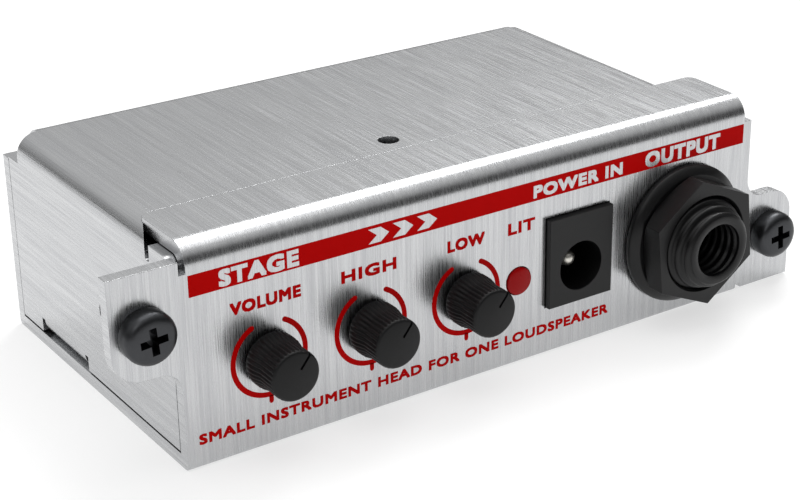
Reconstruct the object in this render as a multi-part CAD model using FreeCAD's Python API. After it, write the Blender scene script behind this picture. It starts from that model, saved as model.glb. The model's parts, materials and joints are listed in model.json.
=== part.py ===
import FreeCAD, Part
import math
import os

# Small sheet-metal guitar amplifier head. Millimetres, +Z up.
# X runs along the front panel to the right, the front panel faces -Y.
# The origin is on the underside, midway between the front and rear panels and centred on the front panel.

# ---------------------------------------------------------------- driving sizes
PANEL_W = 80.0          # front panel, without its ears
DEPTH = 44.5            # front face to rear face
HEIGHT = 26.2           # underside to the top face
SHEET = 1.6             # aluminium sheet thickness
OVERHANG_R = 5.0        # how far the panel runs past the right-hand wall

BEND_R = 2.7            # outside radius of the large folds
BUTT_GAP = 0.02         # seam between the panel's top flange and the cover
SLIDE_GAP = 0.1         # cover walls to the panels they stand between
SHADOW_GAP = 0.25       # visible gap between cover walls and base

# front panel, its ears and its folded top flange
FLANGE_D = 10.45        # top flange, front face to rear edge
FLANGE_INSET = 1.15     # flange ends inside the panel's width
FLANGE_CORNER_R = 1.2
SHOULDER_DROP = 3.05    # top face down to the panel's shoulder
BASE_FOLD_R = 0.6       # grooved fold along the bottom edges
EAR_REACH = 7.8
EAR_H = 12.3
EAR_DROP_L = 1.55       # top face down to the left ear's top edge
EAR_RAISE_R = 0.27      # underside up to the right ear's lower edge
EAR_CORNER_R = 3.6
EAR_FILLET_R = 2.5
RELIEF_W = 0.8          # width of the fold-relief notches
RELIEF_H = 0.8

# rear panel
REAR_H = 22.5           # underside to the rear panel's top edge
REAR_FLANGE_DROP = 6.6  # cover's rear flange, from the top face down

# cover walls
WALL_SLIT_Y = 6.0       # front face to the corner-relief slit
WALL_SLIT_W = 0.93
WALL_SLIT_DROP = 3.65   # top face down to the slit's foot
TAB_L = 11.2            # fixing tab folded in at the foot of each wall
TAB_Y = 30.8            # front face to the tab's middle
TAB_REACH = 8.0
TAB_FOLD_R = 2.0

# panel controls, all on one centre line
ROW_Z = 10.8
KNOB_PITCH = 13.0
KNOB_X0 = -29.5
LED_X = 4.0
DC_X = 12.7
IN_Z = 10.8
VENT_X, VENT_Y, VENT_D = -5.0, 13.6, 2.55   # trimmer access hole in the top

# ear fixings and small screws
EAR_SCREW_D = 3.0
EAR_SCREW_OUT = 4.0     # panel's edge to the ear's screw
EAR_SCREW_IN = 6.785    # ear's far edge to its screw
EAR_HEAD_D, EAR_HEAD_H = 6.0, 2.5
EAR_SCREW_L = 8.0
NECK_UNDERCUT, NECK_PAST = 0.3, 0.1    # slimmer neck under the head, through the sheet and just past it
SCREW_CLEAR = 0.2       # hole diameter over the screw's
SMALL_SCREW_D, SMALL_HEAD_D, SMALL_HEAD_H = 2.5, 4.5, 1.7
RECESS_ARM, RECESS_W = 3.2, 0.87

# knobs and potentiometers
KNOB_D, KNOB_SKIRT_D, KNOB_FRONT = 5.9, 6.5, 5.7   # front = distance ahead of the panel
KNOB_SKIRT_L, KNOB_GAP = 2.3, 0.35
KNOB_FLUTES, FLUTE_R = 24, 0.22
POINTER_DEG = 37.0      # clockwise from straight up, seen from the front
POINTER_W, POINTER_DEPTH = 0.36, 0.3
KNOB_FACE_T, KNOB_BORE_CLEAR = 1.2, 0.02            # knob's front wall, and its bore round the shaft
SHAFT_SHORT = 0.3                                   # shaft ends short of the bore's end
SHAFT_D, SHAFT_FIT = 3.0, 0.03                      # radial running fit
POT_W, POT_H, POT_D = 9.6, 11.0, 6.8
POT_COLLAR_D, COLLAR_CLEAR = 5.2, 0.15

# 6.35 mm jacks
JACK_BORE_R = 3.25
BUSH_D, BUSH_FRONT, BUSH_NOSE_D = 11.9, 7.2, 8.9
BUSH_CLEAR = 0.15
THREAD_PITCH, THREAD_DEPTH = 1.1, 0.45
NUT_WALL, NUT_T, NUT_TURN = 1.3, 3.1, 24.0           # wall between the thread and a flat
NUT_CLEAR = 0.05                                     # nut and washer round the bush
WASHER_RIM, WASHER_T = 1.65, 1.6                     # washer past the nut's flats
JACK_WIDE, JACK_NARROW = 8.0, 4.1                   # body each side of its axis
JACK_SIDE_GAP = 0.3                                 # output jack's narrow side to the wall
JACK_L, JACK_UP, JACK_END = 22.0, 6.4, 1.2
RING_BACK, RING_L, RING_T = 2.6, 1.2, 0.3            # sleeve contact ring
NIB_INSET, LEAF_T, LEAF_W = 0.2, 0.4, 3.2            # tip contact, its nib inside the bore's wall

# power socket and lamp
DC_W, DC_H, DC_L, DC_PROUD = 9.4, 11.4, 13.0, 0.8
DC_HOLE_D, DC_PIN_D, DC_PIN_BACK = 6.2, 2.1, 1.9
DC_FIT, DC_END, DC_SHANK_D = 0.1, 1.5, 1.6
LED_D, LED_PROUD, LED_L = 3.4, 0.45, 4.6
LED_CLEAR = 0.1

# circuit board
BOARD_T = 1.2
STANDOFF_H, STANDOFF_D = 2.2, 5.0
BOARD_GAP = 0.5         # board edge to the metalwork round it
LEAD = 0.6              # square component leads
SEAT = 0.05             # parts stand this far off the board
IN_X = -19.0            # rear input jack
# board screws: x, distance behind the front face
FIXINGS = [(-34.5, 13.0), (17.0, 16.5), (-27.0, 36.0), (22.0, 37.5)]

# parts on the board, placed by x and by distance behind the front face
TRIM_W, TRIM_H, ROTOR_D, ROTOR_FIT = 6.6, 4.4, 4.7, 0.05
ROTOR_SEAT, ROTOR_GAP = 1.9, 0.1
AMP_LIFT = 2.0          # amplifier chip's body above the board
AMP_X, AMP_YF, AMP_W, AMP_T, AMP_H = 8.0, 22.5, 10.0, 3.2, 9.0
SPREADER_W, SPREADER_H, SPREADER_FOOT, SPREADER_T = 13.0, 13.5, 4.5, 1.5
CANS = [(19.5, 29.2, 4.9, 12.5), (5.0, 35.5, 4.0, 11.5), (-5.0, 35.5, 4.0, 11.5)]   # with radius and height
FILM_X, FILM_YF, FILM_PITCH = -5.0, 20.5, 4.0
FILM_L, FILM_T, FILM_H = 7.2, 2.5, 6.5
CHIPS = [(-31.0, 19.5), (7.5, 17.5)]
CHIP_L, CHIP_W, CHIP_H, CHIP_PITCH = 9.6, 6.2, 3.3, 2.54
RESISTORS_X = [-21.0, -18.5, -16.0, -13.5, -11.0, 0.3]
RESISTOR_YF, RESISTOR_R, RESISTOR_L = 14.5, 1.1, 5.2
CHOKE_X, CHOKE_YF, CHOKE_R, CHOKE_H = 13.6, 36.3, 4.0, 6.3

# ---------------------------------------------------------------- derived places
FRONT = -DEPTH / 2
REAR = DEPTH / 2
LEFT = -PANEL_W / 2
RIGHT = PANEL_W / 2
WALL_R = RIGHT - OVERHANG_R
IN_R = BEND_R - SHEET
OUT_X = WALL_R - SHEET - JACK_SIDE_GAP - JACK_NARROW
SHOULDER_Z = HEIGHT - SHOULDER_DROP
SEAM_Y = FRONT + FLANGE_D
PANEL_BACK = FRONT + SHEET
REAR_FACE = REAR - SHEET
COVER_REAR = REAR_FACE - SLIDE_GAP
BOARD_BOTTOM = SHEET + STANDOFF_H
BOARD_TOP = BOARD_BOTTOM + BOARD_T
TAB_MID_Y = FRONT + TAB_Y
AMP_SCREW_Z = BOARD_TOP + AMP_LIFT + AMP_H * 0.7
TAB_FLOOR = SHEET + BUTT_GAP
KNOBS = {"level": KNOB_X0, "presence": KNOB_X0 + KNOB_PITCH, "resonance": KNOB_X0 + 2 * KNOB_PITCH}
EAR_SCREWS = [(LEFT - EAR_SCREW_OUT, HEIGHT - EAR_DROP_L - EAR_SCREW_IN),
              (RIGHT + EAR_SCREW_OUT, EAR_RAISE_R + EAR_SCREW_IN)]
NUT_AF = BUSH_D + 2 * NUT_WALL
WASHER_D = NUT_AF + 2 * WASHER_RIM
TAB_SCREWS = [LEFT + SHEET + TAB_REACH / 2, WALL_R - SHEET - TAB_REACH / 2]
BOARD_SCREWS = [(x, FRONT + yf) for x, yf in FIXINGS]

V = FreeCAD.Vector
X, Y, Z = V(1, 0, 0), V(0, 1, 0), V(0, 0, 1)


# ---------------------------------------------------------------- small helpers
def box(x0, x1, y0, y1, z0, z1):
    return Part.makeBox(x1 - x0, y1 - y0, z1 - z0, V(x0, y0, z0))


def rod(r, length, at, axis):
    return Part.makeCylinder(r, length, at, axis)


def outline(corners, place):
    """Closed face from (a, b, radius) corners; place turns a, b into a point."""
    count = len(corners)
    edges, ends = [], []
    for i, (a, b, r) in enumerate(corners):
        pa, pb = corners[i - 1][:2], corners[(i + 1) % count][:2]
        here = place(a, b)
        if not r:
            ends.append((here, here, None))
            continue
        back = (place(*pa) - here).normalize()
        ahead = (place(*pb) - here).normalize()
        half = back.getAngle(ahead) / 2
        reach = r / math.tan(half)
        middle = (back + ahead).normalize()
        mid = here + middle * (r / math.sin(half) - r)
        ends.append((here + back * reach, here + ahead * reach, mid))
    for i, (start, end, mid) in enumerate(ends):
        if mid is not None:
            edges.append(Part.Arc(start, mid, end).toShape())
        following = ends[(i + 1) % count][0]
        if (following - end).Length > 1e-6:
            edges.append(Part.LineSegment(end, following).toShape())
    return Part.Face(Part.Wire(edges))


def prism_x(corners, x0, x1):
    return outline(corners, lambda a, b: V(x0, a, b)).extrude(X * (x1 - x0))


def prism_y(corners, y0, y1):
    return outline(corners, lambda a, b: V(a, y0, b)).extrude(Y * (y1 - y0))


def prism_z(corners, z0, z1):
    return outline(corners, lambda a, b: V(a, b, z0)).extrude(Z * (z1 - z0))


def turned(profile, at, axis):
    """Solid of revolution: (radius, distance along the axis) points."""
    side = Z if abs(axis.dot(Z)) < 0.5 else X
    points = [at + side * r + axis * d for r, d in profile]
    face = Part.Face(Part.makePolygon(points + points[:1]))
    return face.revolve(at, axis, 360)


def hexagon(across_flats, t, at, axis, turn_deg=0.0):
    """Hexagonal prism whose corners start turn_deg from +X about the axis."""
    side = X if abs(axis.dot(X)) < 0.5 else Y
    other = axis.cross(side)
    r = across_flats / math.sqrt(3)
    angles = [math.radians(turn_deg + 60 * i) for i in range(6)]
    points = [at + side * (r * math.cos(a)) + other * (r * math.sin(a)) for a in angles]
    return Part.Face(Part.makePolygon(points + points[:1])).extrude(axis * t)


def fuse(first, *others):
    return first.multiFuse(list(others)).removeSplitter()


def cross_recess(at, axis, depth, arm, width):
    """Cross-head driver recess, tapering inward, cut from the head's face."""
    side = Z if abs(axis.dot(Z)) < 0.5 else Y
    other = axis.cross(side)

    def bar(a, b):
        def ring(k, d):
            pts = [at + a * (s * arm / 2 * k) + b * (t * width / 2) - axis * d
                   for s, t in ((1, 1), (-1, 1), (-1, -1), (1, -1))]
            return Part.makePolygon(pts + pts[:1])
        return Part.makeLoft([ring(1.0, -0.05), ring(0.45, depth)], True, True)
    return bar(side, other).fuse(bar(other, side))


def pan_screw(at, axis, head_d, head_h, shank_d, shank_l, arm, width, neck_l=0.0):
    """Pan-head screw: at is under the head, axis points out of the head. It may have a slimmer neck."""
    r, edge = head_d / 2, head_h * 0.4
    head = rod(r, head_h, at, axis)
    rim = [e for e in head.Edges if abs(e.CenterOfMass.sub(at).dot(axis) - head_h) < 1e-6]
    head = head.makeFillet(edge, rim[:1])
    pieces = [rod(shank_d / 2, shank_l - neck_l, at - axis * shank_l, axis)]
    if neck_l:
        pieces.append(rod(shank_d / 2 - NECK_UNDERCUT, neck_l, at - axis * neck_l, axis))
    screw = fuse(head, *pieces)
    return screw.cut(cross_recess(at + axis * head_h, axis, head_h * 0.6, arm, width))


def fold_profile(y_face, y_end, z_foot, sign):
    """Upright sheet that folds over into the top: face at y_face, top ending at y_end."""
    inner = y_face + sign * SHEET
    return [(y_face, z_foot, 0), (y_face, HEIGHT, BEND_R), (y_end, HEIGHT, 0),
            (y_end, HEIGHT - SHEET, 0), (inner, HEIGHT - SHEET, IN_R), (inner, z_foot, 0)]


# ---------------------------------------------------------------- metalwork
def chassis():
    ear_top, ear_low = HEIGHT - EAR_DROP_L, EAR_RAISE_R
    strip_r = RIGHT - FLANGE_INSET + 0.1
    lip_l = LEFT + FLANGE_INSET
    panel = prism_y([
        (LEFT, 0, 0), (strip_r, 0, 0), (strip_r, RELIEF_H, 0), (strip_r + RELIEF_W, RELIEF_H, 0),
        (strip_r + RELIEF_W, ear_low, 0), (RIGHT + EAR_REACH, ear_low, 0),
        (RIGHT + EAR_REACH, ear_low + EAR_H, EAR_CORNER_R), (RIGHT, ear_low + EAR_H, EAR_FILLET_R),
        (RIGHT, SHOULDER_Z, 0), (lip_l - RELIEF_W, SHOULDER_Z, 0), (lip_l - RELIEF_W, ear_top, 0),
        (LEFT - EAR_REACH, ear_top, 0), (LEFT - EAR_REACH, ear_top - EAR_H, EAR_CORNER_R),
        (LEFT, ear_top - EAR_H, EAR_FILLET_R)], FRONT, PANEL_BACK)
    flange = prism_x(fold_profile(FRONT, SEAM_Y, SHOULDER_Z, 1), lip_l, RIGHT - FLANGE_INSET)
    plan = prism_z([
        (lip_l, FRONT, 0), (RIGHT - FLANGE_INSET, FRONT, 0),
        (RIGHT - FLANGE_INSET, SEAM_Y, FLANGE_CORNER_R), (lip_l, SEAM_Y, FLANGE_CORNER_R)], 0, HEIGHT)
    floor = box(LEFT, WALL_R, FRONT, REAR, 0, SHEET)
    rear = box(LEFT, WALL_R, REAR_FACE, REAR, 0, REAR_H)
    body = fuse(panel, flange.common(plan), floor, rear)
    folds = [e for e in body.Edges if e.BoundBox.ZMax < 1e-6 and e.BoundBox.YLength < 1e-6
             and abs(abs(e.CenterOfMass.y) - DEPTH / 2) < 1e-6 and e.Length > PANEL_W / 2]
    body = body.makeFillet(BASE_FOLD_R, folds)

    holes = [rod(POT_COLLAR_D / 2 + COLLAR_CLEAR, SHEET, V(x, FRONT, ROW_Z), Y) for x in KNOBS.values()]
    holes.append(rod(LED_D / 2 + LED_CLEAR, SHEET, V(LED_X, FRONT, ROW_Z), Y))
    holes.append(box(DC_X - DC_W / 2 - DC_FIT, DC_X + DC_W / 2 + DC_FIT, FRONT, PANEL_BACK,
                     dc_foot() - DC_FIT, dc_foot() + DC_H + DC_FIT))
    holes.append(rod(BUSH_D / 2 + BUSH_CLEAR, SHEET, V(OUT_X, FRONT, ROW_Z), Y))
    holes.append(rod(BUSH_D / 2 + BUSH_CLEAR, SHEET, V(IN_X, REAR_FACE, IN_Z), Y))
    holes += [rod((EAR_SCREW_D + SCREW_CLEAR) / 2, SHEET, V(x, FRONT, z), Y) for x, z in EAR_SCREWS]
    holes += [rod(SMALL_SCREW_D / 2, SHEET, V(x, y, 0), Z) for x, y in BOARD_SCREWS]
    holes += [countersink(x) for x in TAB_SCREWS]
    return body.cut(fuse(*holes))


def dc_foot():
    """Lower edge of the power socket, whose hole sits below its middle."""
    return ROW_Z - DC_H / 2 + 1.1


def countersink(x):
    r = (SMALL_SCREW_D + SCREW_CLEAR) / 2
    cone = Part.makeCone(SMALL_SCREW_D, r, SMALL_SCREW_D - r, V(x, TAB_MID_Y, 0), Z)
    return cone.fuse(rod(r, SHEET + TAB_REACH, V(x, TAB_MID_Y, 0), Z))


def wall(x_outer, side):
    """Side wall with its forward leg under the flange and its folded tab; side is +1 into the box."""
    top = HEIGHT - BEND_R
    leg_top = HEIGHT - SHEET - SLIDE_GAP
    slit = FRONT + WALL_SLIT_Y
    foot, fold = SHEET + SHADOW_GAP, TAB_FLOOR + TAB_FOLD_R
    y0, y1 = PANEL_BACK + SLIDE_GAP, COVER_REAR
    notch0, notch1 = TAB_MID_Y - TAB_L / 2 - RELIEF_W, TAB_MID_Y + TAB_L / 2 + RELIEF_W
    corner = COVER_REAR - BEND_R
    x_inner = x_outer + side * SHEET
    sheet = prism_x([
        (y0, foot, 0), (notch0, foot, 0), (notch0, fold, 0), (notch1, fold, 0), (notch1, foot, 0),
        (y1, foot, 0), (y1, top - RELIEF_W, 0), (corner, top - RELIEF_W, 0), (corner, top, 0),
        (slit + WALL_SLIT_W, top, 0), (slit + WALL_SLIT_W, HEIGHT - WALL_SLIT_DROP, 0.3),
        (slit, HEIGHT - WALL_SLIT_DROP, 0.3), (slit, leg_top, 0), (y0, leg_top, IN_R)],
        min(x_outer, x_inner), max(x_outer, x_inner))
    tip = x_outer + side * (SHEET + TAB_REACH)
    tab = prism_y([
        (x_outer, fold, 0), (x_outer, TAB_FLOOR, TAB_FOLD_R), (tip, TAB_FLOOR, 0),
        (tip, TAB_FLOOR + SHEET, 0), (x_inner, TAB_FLOOR + SHEET, TAB_FOLD_R - SHEET), (x_inner, fold, 0)],
        TAB_MID_Y - TAB_L / 2, TAB_MID_Y + TAB_L / 2)
    return [sheet, tab]


def top_cover():
    top = HEIGHT - BEND_R
    front_of_bend = FRONT + WALL_SLIT_Y + WALL_SLIT_W
    corner = COVER_REAR - BEND_R
    arch = prism_y([
        (LEFT, top, 0), (LEFT, HEIGHT, BEND_R), (WALL_R, HEIGHT, BEND_R), (WALL_R, top, 0),
        (WALL_R - SHEET, top, 0), (WALL_R - SHEET, HEIGHT - SHEET, IN_R),
        (LEFT + SHEET, HEIGHT - SHEET, IN_R), (LEFT + SHEET, top, 0)], front_of_bend, corner)
    clear = SEAM_Y + BUTT_GAP
    flange_end = LEFT + FLANGE_INSET - BUTT_GAP
    corner_r = FLANGE_CORNER_R + BUTT_GAP
    relief = prism_z([
        (LEFT - 1, FRONT, 0), (LEFT - 1, front_of_bend, 0), (LEFT, front_of_bend, 0),
        (flange_end, clear - corner_r, 0), (flange_end, clear, corner_r),
        (WALL_R + 1, clear, 0), (WALL_R + 1, FRONT, 0)], top, HEIGHT + 1)
    rear_fold = prism_x(fold_profile(COVER_REAR, corner - 1, HEIGHT - REAR_FLANGE_DROP, -1),
                        LEFT + BEND_R, WALL_R - BEND_R)
    cover = fuse(arch.cut(relief), rear_fold, *wall(LEFT, 1), *wall(WALL_R, -1))
    tab_r = (SMALL_SCREW_D + SCREW_CLEAR) / 2
    holes = [rod(tab_r, SHEET + 1, V(x, TAB_MID_Y, TAB_FLOOR - 0.5), Z) for x in TAB_SCREWS]
    holes.append(rod(VENT_D / 2, SHEET + 2, V(VENT_X, FRONT + VENT_Y, HEIGHT - SHEET - 1), Z))
    return cover.cut(fuse(*holes))


def cover_screws():
    """Countersunk screws from below, flush with the underside."""
    screws = []
    for x in TAB_SCREWS:
        r, foot = SMALL_SCREW_D / 2, V(x, TAB_MID_Y, 0.05)
        head = Part.makeCone(2 * r - 0.1, r, r - 0.05, foot, Z)
        shank = rod(r, TAB_FLOOR + SHEET + 2.0, foot, Z)
        screws.append(fuse(head, shank).cut(cross_recess(foot, -Z, 0.8, RECESS_ARM * 0.75, RECESS_W * 0.7)))
    return Part.makeCompound(screws)


def cover_nuts():
    seat = TAB_FLOOR + SHEET + BUTT_GAP
    nuts = [hexagon(5.0, 1.9, V(x, TAB_MID_Y, seat), Z).cut(
        rod(SMALL_SCREW_D / 2 + SHAFT_FIT, 1.9, V(x, TAB_MID_Y, seat), Z)) for x in TAB_SCREWS]
    return Part.makeCompound(nuts)


def ear_screws():
    return Part.makeCompound([
        pan_screw(V(x, FRONT - BUTT_GAP, z), -Y, EAR_HEAD_D, EAR_HEAD_H, EAR_SCREW_D, EAR_SCREW_L,
                  RECESS_ARM, RECESS_W, BUTT_GAP + SHEET + NECK_PAST) for x, z in EAR_SCREWS])


# ---------------------------------------------------------------- circuit board and its fixings
def circuit_board():
    y0, y1 = PANEL_BACK + BOARD_GAP, COVER_REAR - SHEET - BOARD_GAP
    x0, x1 = LEFT + SHEET + BOARD_GAP, WALL_R - SHEET - BOARD_GAP
    board = box(x0, x1, y0, y1, BOARD_BOTTOM, BOARD_TOP)
    bay = TAB_L / 2 + RELIEF_W + BOARD_GAP
    reach = SHEET + TAB_REACH + BOARD_GAP
    cuts = [box(x0 - 1, LEFT + reach, TAB_MID_Y - bay, TAB_MID_Y + bay, 0, HEIGHT),
            box(WALL_R - reach, x1 + 1, TAB_MID_Y - bay, TAB_MID_Y + bay, 0, HEIGHT)]
    cuts += [rod((SMALL_SCREW_D + SCREW_CLEAR) / 2, HEIGHT, V(x, y, 0), Z) for x, y in BOARD_SCREWS]
    return board.cut(fuse(*cuts))


def board_standoffs():
    """Press-in hexagonal standoffs, their shanks set in the base."""
    posts = []
    for x, y in BOARD_SCREWS:
        post = fuse(hexagon(STANDOFF_D, STANDOFF_H, V(x, y, SHEET), Z),
                    rod(SMALL_SCREW_D / 2, SHEET, V(x, y, 0), Z))
        posts.append(post.cut(rod(SMALL_SCREW_D / 2 - 0.45, STANDOFF_H + 0.5, V(x, y, SHEET - 0.5), Z)))
    return Part.makeCompound(posts)


def board_screws():
    return Part.makeCompound([
        pan_screw(V(x, y, BOARD_TOP), Z, SMALL_HEAD_D, SMALL_HEAD_H, SMALL_SCREW_D - 0.9, BOARD_T + 1.6,
                  RECESS_ARM * 0.7, RECESS_W * 0.7) for x, y in BOARD_SCREWS])


# ---------------------------------------------------------------- controls
def knob(x):
    """Fluted push-on knob with a flat face and an engraved pointer line."""
    at = V(x, FRONT, ROW_Z)
    r, skirt = KNOB_D / 2, KNOB_SKIRT_D / 2
    body = turned([(0, KNOB_GAP), (skirt, KNOB_GAP), (skirt, KNOB_SKIRT_L), (r, KNOB_SKIRT_L + 0.7),
                   (r, KNOB_FRONT), (0, KNOB_FRONT)], at, -Y)
    flutes = []
    for i in range(KNOB_FLUTES):
        a = 2 * math.pi * i / KNOB_FLUTES
        out = V(math.cos(a), 0, math.sin(a))
        flutes.append(rod(FLUTE_R, KNOB_SKIRT_L + 0.2, at + out * (skirt + FLUTE_R * 0.35), -Y))
    a = math.radians(POINTER_DEG)
    out = V(math.sin(a), 0, math.cos(a))
    start = at + out * (r * 0.35) - Y * (KNOB_FRONT - POINTER_DEPTH)
    groove = Part.makeBox(POINTER_W, POINTER_DEPTH + 0.2, r, V(-POINTER_W / 2, -POINTER_DEPTH - 0.2, 0))
    groove.rotate(V(0, 0, 0), Y, POINTER_DEG)
    groove.translate(start)
    bore = rod(SHAFT_D / 2 + KNOB_BORE_CLEAR, KNOB_FRONT - KNOB_FACE_T - KNOB_GAP, at - Y * KNOB_GAP, -Y)
    return body.cut(fuse(bore, groove, *flutes))


def pot_shaft(x):
    """Shaft from inside the pot body to the knob, with its wiper disc."""
    at = V(x, FRONT, ROW_Z)
    ahead = KNOB_FRONT - KNOB_FACE_T - SHAFT_SHORT
    shaft = rod(SHAFT_D / 2, ahead + SHEET + POT_D * 0.7, at - Y * ahead, Y)
    disc = rod(SHAFT_D * 0.9, 0.8, at + Y * (SHEET + POT_D * 0.5), Y)
    return fuse(shaft, disc)


def pot_body(x):
    """Square potentiometer case with the collar that centres it in the panel."""
    at = V(x, PANEL_BACK, ROW_Z)
    y0 = PANEL_BACK + BUTT_GAP
    z0 = BOARD_TOP + SEAT
    case = prism_y([(x - POT_W / 2, z0, 0.4), (x + POT_W / 2, z0, 0.4),
                    (x + POT_W / 2, z0 + POT_H, 1.6), (x - POT_W / 2, z0 + POT_H, 1.6)], y0, y0 + POT_D)
    collar = rod(POT_COLLAR_D / 2, SHEET - 0.2, at - Y * (SHEET - 0.2 - BUTT_GAP - 0.01), Y)
    bore = rod(SHAFT_D / 2 + SHAFT_FIT, SHEET + POT_D, V(x, FRONT - 1, ROW_Z), Y)
    cavity = rod(SHAFT_D * 0.9 + 0.15, 1.6, V(x, FRONT + SHEET + POT_D * 0.5 - 0.4, ROW_Z), Y)
    return fuse(case, collar).cut(fuse(bore, cavity))


def pot_terminals():
    pins = []
    for x in KNOBS.values():
        for step in (-2.5, 0, 2.5):
            pins.append(box(x + step - LEAD / 2, x + step + LEAD / 2, PANEL_BACK + POT_D + 0.1,
                            PANEL_BACK + POT_D + 0.1 + 0.4, BOARD_TOP + BUTT_GAP, BOARD_TOP + 2.4))
    return Part.makeCompound(pins)


# ---------------------------------------------------------------- jacks
def jack_body(x, z, face, inner, out):
    """Moulded 6.35 mm jack. face is the panel's outside, inner its inside, out points at the user."""
    at = V(x, face, z)
    into = -out
    y0 = inner + into.y * BUTT_GAP
    y1 = y0 + into.y * JACK_L
    wide = x - JACK_WIDE if out.y < 0 else x + JACK_WIDE
    narrow = x + JACK_NARROW if out.y < 0 else x - JACK_NARROW
    xs, ys = sorted((wide, narrow)), sorted((y0, y1))
    foot = BOARD_TOP + SEAT
    case = box(xs[0], xs[1], ys[0], ys[1], foot, z + JACK_UP)
    rims = [e for e in case.Edges if abs(e.tangentAt(0).dot(Y)) > 0.9 and e.CenterOfMass.z > z]
    case = case.makeFillet(1.2, rims)
    r, nose = BUSH_D / 2, BUSH_NOSE_D / 2
    thread = [(0, -SHEET - BUTT_GAP), (r, -SHEET - BUTT_GAP), (r, NUT_T + WASHER_T + 0.15)]
    turns = 2
    step = (r - nose - 0.3) / turns
    for i in range(turns):
        start = NUT_T + WASHER_T + 0.15 + i * THREAD_PITCH
        crest = r - step * (i + 0.35)
        thread += [(crest - THREAD_DEPTH, start + 0.3), (crest - THREAD_DEPTH, start + 0.55),
                   (crest, start + 0.85), (crest, start + THREAD_PITCH)]
    thread += [(nose, BUSH_FRONT - 0.15), (nose - 0.15, BUSH_FRONT), (0, BUSH_FRONT)]
    bush = turned(thread, at, out)
    length = BUSH_FRONT + SHEET + JACK_L - JACK_END
    bore = rod(JACK_BORE_R, length, at + out * BUSH_FRONT, into)
    groove_at = V(x, inner, z) + into * (RING_BACK - BUTT_GAP)
    groove = rod(JACK_BORE_R + RING_T, RING_L + 2 * BUTT_GAP, groove_at, into)
    return fuse(case, bush).cut(fuse(bore, contact_bay(x, z, inner, out), groove))


def contact_bay(x, z, inner, out):
    """Open bay beside the bore where the tip contact springs."""
    side = -1 if out.y < 0 else 1
    xs = sorted((x, x + side * (JACK_WIDE - JACK_END)))
    ys = sorted((inner - out.y * 5.0, inner - out.y * (JACK_L - JACK_END)))
    return box(xs[0], xs[1], ys[0], ys[1], z - 2.2, z + JACK_UP + 1)


def tip_contact(x, z, inner, out):
    """Bent leaf that presses on the plug's tip, with its solder leg."""
    side = -1 if out.y < 0 else 1
    base_x = x + side * (JACK_WIDE - 2.6)
    nib_x = x + side * (JACK_BORE_R - NIB_INSET)

    def at(along, x_here):
        return V(x_here, inner - out.y * along, z - LEAF_W / 2)
    path = [at(JACK_L - JACK_END, base_x), at(10.0, base_x - side * 0.6), at(8.2, nib_x),
            at(6.4, base_x - side * 1.2)]
    back = [p + V(side * LEAF_T, 0, 0) for p in reversed(path)]
    return Part.Face(Part.makePolygon(path + back + path[:1])).extrude(Z * LEAF_W)


def sleeve_contact(x, z, inner, out):
    """Ring behind the panel that touches the plug's sleeve."""
    at = V(x, inner, z) - out * RING_BACK
    ring = rod(JACK_BORE_R + RING_T - BUTT_GAP, RING_L, at, -out)
    return ring.cut(rod(JACK_BORE_R - BUTT_GAP, RING_L, at, -out))


def jack_washer(x, z, face, out):
    """Flat flange washer with a raised inner ring."""
    r, hole, t = WASHER_D / 2, BUSH_D / 2 + NUT_CLEAR, WASHER_T
    return turned([(hole, BUTT_GAP), (r - 0.2, BUTT_GAP), (r, BUTT_GAP + 0.25), (r, t * 0.5),
                   (r - 0.35, t * 0.72), (NUT_AF / 2 + 0.6, t), (hole, t)], V(x, face, z), out)


def jack_nut(x, z, face, out):
    """Hexagonal nut, chamfered on its rear corners and countersunk at the front."""
    at = V(x, face, z) + out * (WASHER_T + BUTT_GAP)
    turn = NUT_TURN if out.y > 0 else -NUT_TURN
    corner_r = NUT_AF / math.sqrt(3)
    body = hexagon(NUT_AF, NUT_T, at, out, turn)
    cone = turned([(0, 0), (NUT_AF / 2 + 0.15, 0), (corner_r + 0.05, 0.75),
                   (corner_r + 0.05, NUT_T), (0, NUT_T)], at, out)
    r, top = BUSH_D / 2 + NUT_CLEAR, NUT_T + 0.1
    hole = turned([(0, -0.1), (r, -0.1), (r, NUT_T - 0.4), (r + 0.3, top), (0, top)], at, out)
    return body.common(cone).cut(hole)


# ---------------------------------------------------------------- power socket, lamp
def dc_housing():
    z0 = dc_foot()
    y0, y1 = FRONT - DC_PROUD, FRONT - DC_PROUD + DC_L
    case = box(DC_X - DC_W / 2, DC_X + DC_W / 2, y0, y1, z0, z0 + DC_H)
    barrel = rod(DC_HOLE_D / 2, DC_L - DC_END, V(DC_X, y0, ROW_Z), Y)
    pin_seat = rod(DC_SHANK_D / 2, DC_L, V(DC_X, y0, ROW_Z), Y)
    slot = box(DC_X - 1.6, DC_X + 1.6, y0 + 5.0, y1 - DC_END, ROW_Z - DC_HOLE_D / 2 - 0.9, ROW_Z)
    return case.cut(fuse(barrel, pin_seat, slot))


def dc_pin():
    """Centre pin with a rounded nose, its slimmer shank set in the housing's end wall."""
    r = DC_PIN_D / 2
    y0, y1 = FRONT - DC_PROUD + DC_PIN_BACK + r, FRONT - DC_PROUD + DC_L - DC_END
    pin = rod(r, y1 - y0, V(DC_X, y0, ROW_Z), Y)
    shank = rod(DC_SHANK_D / 2, DC_END + 0.8, V(DC_X, y1, ROW_Z), Y)
    return fuse(pin, shank, Part.makeSphere(r, V(DC_X, y0, ROW_Z)))


def dc_spring():
    """Leaf that presses on the outside of the plug's barrel."""
    y0 = FRONT - DC_PROUD
    z_leaf = ROW_Z - DC_HOLE_D / 2 - 0.45
    return box(DC_X - 1.2, DC_X + 1.2, y0 + 5.4, y0 + DC_L - DC_END, z_leaf - 0.3, z_leaf)


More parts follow.
